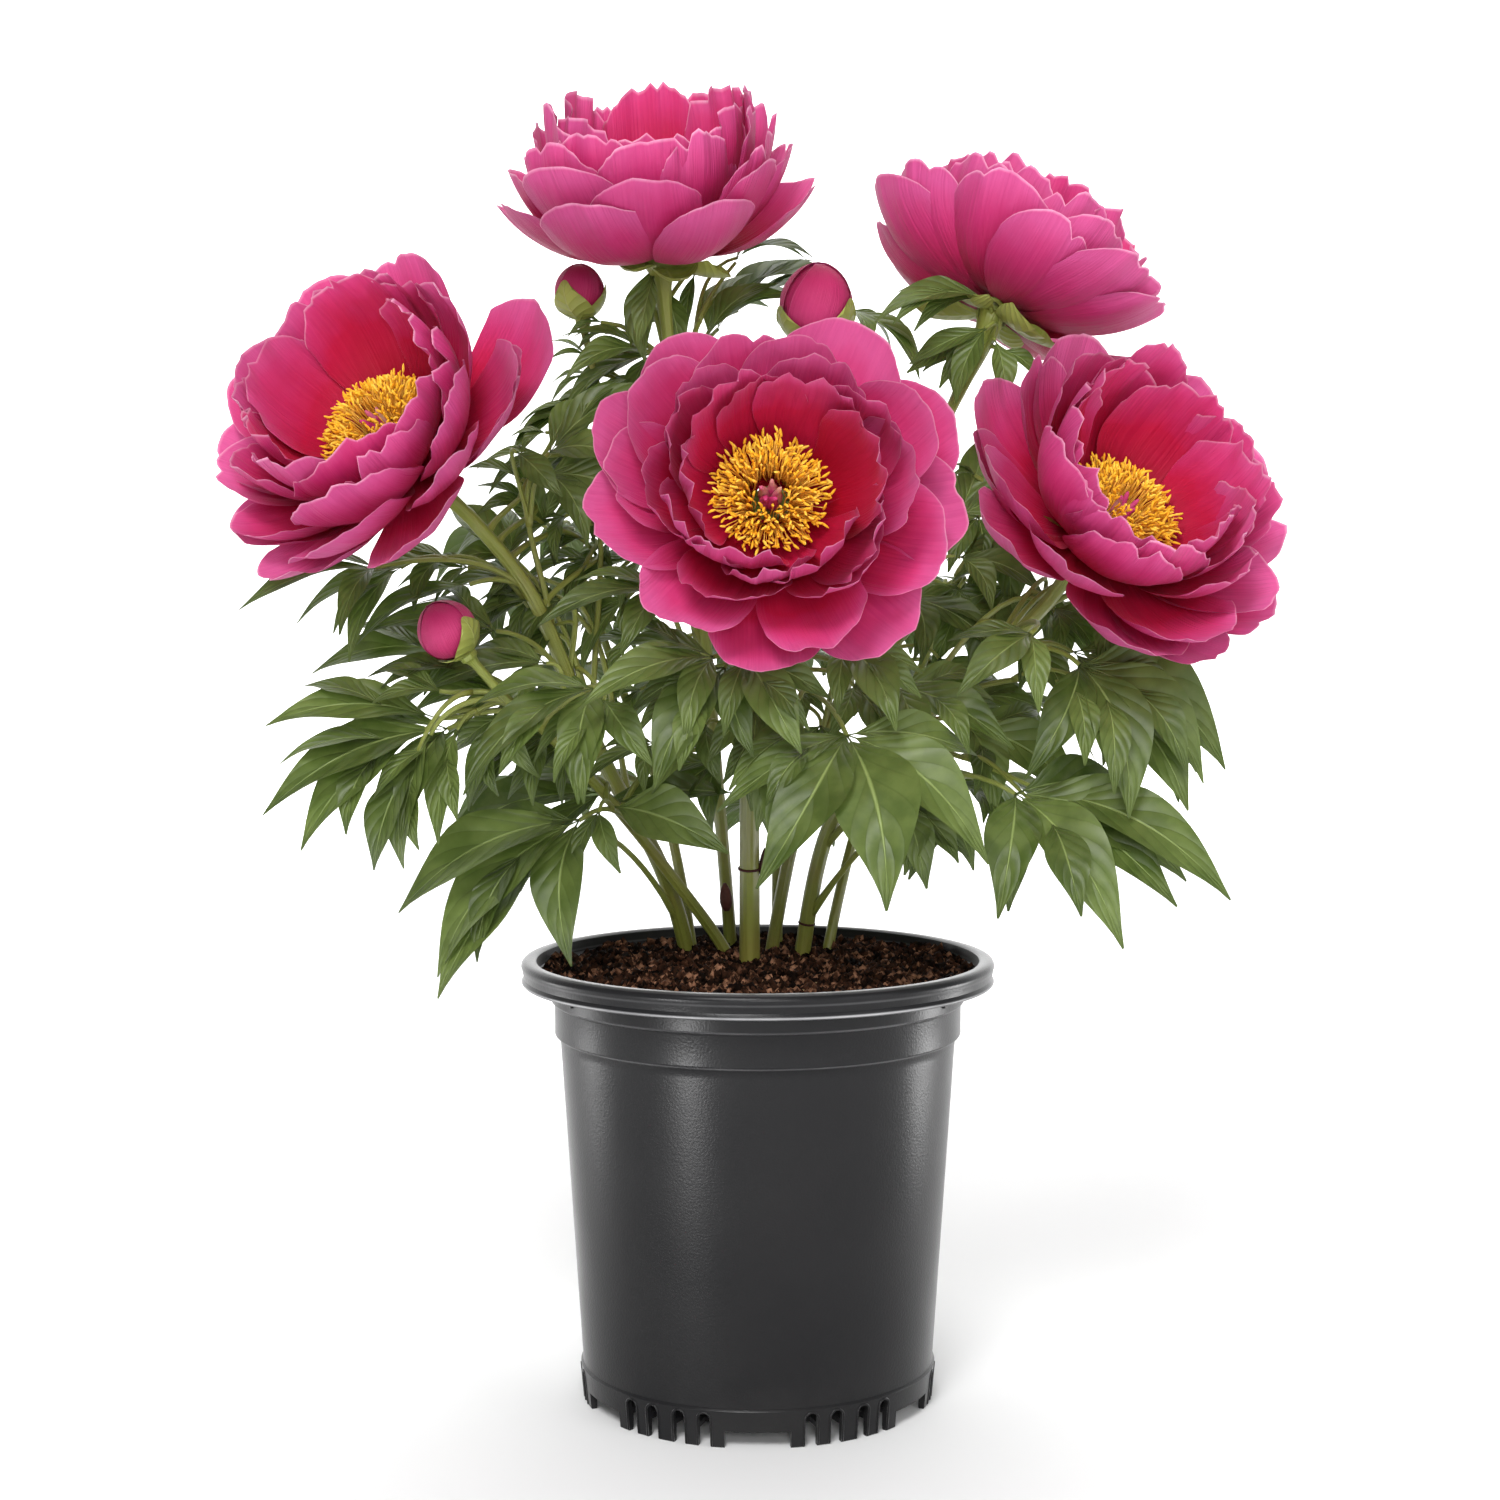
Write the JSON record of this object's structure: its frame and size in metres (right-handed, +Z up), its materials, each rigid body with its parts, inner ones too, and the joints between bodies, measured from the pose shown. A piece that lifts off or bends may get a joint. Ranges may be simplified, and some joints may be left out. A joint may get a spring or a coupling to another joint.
{
  "type": "potted peony",
  "caption": "Leafy semi-double peony clump with open pink blooms and round buds, in a ribbed round nursery pot of soil.",
  "frame": {"origin": "middle of the pot's foot, on the plane that it stands on, which is also the middle of the plant's box", "axes": "+Z up along the pot's axis, -Y towards the front, where the largest bloom faces, +X to the right seen from there"},
  "size_m": [0.5039, 0.3297, 0.6331],
  "materials": {
    "pot": "charcoal moulded plastic, semi-gloss",
    "soil": "moist dark bark and peat mix",
    "leaf": "living green leaf and stem, satin, waxy",
    "petal": "magenta-pink petal, silky, slightly translucent",
    "stamen": "golden anthers and filaments",
    "carpel": "magenta-purple carpels, velvety"
  },
  "bodies": {
    "root": {"pot": "pot", "soil": "soil", "stem_left": "leaf", "stem_left_low": "leaf", "stem_top": "leaf", "stem_front": "leaf", "stem_upper_right": "leaf", "stem_right": "leaf", "stem_back_left": "leaf", "stem_back": "leaf", "stem_back_right": "leaf", "petals_left": "petal", "petals_top": "petal", "petals_front": "petal", "petals_upper_right": "petal", "petals_right": "petal", "stamens_left": "stamen", "stamens_top": "stamen", "stamens_front": "stamen", "stamens_upper_right": "stamen", "stamens_right": "stamen", "carpels_left": "carpel", "carpels_top": "carpel", "carpels_front": "carpel", "carpels_upper_right": "carpel", "carpels_right": "carpel", "bud_top": "petal", "bud_upper_right": "petal", "bud_left_low": "petal"}
  },
  "joints": []
}
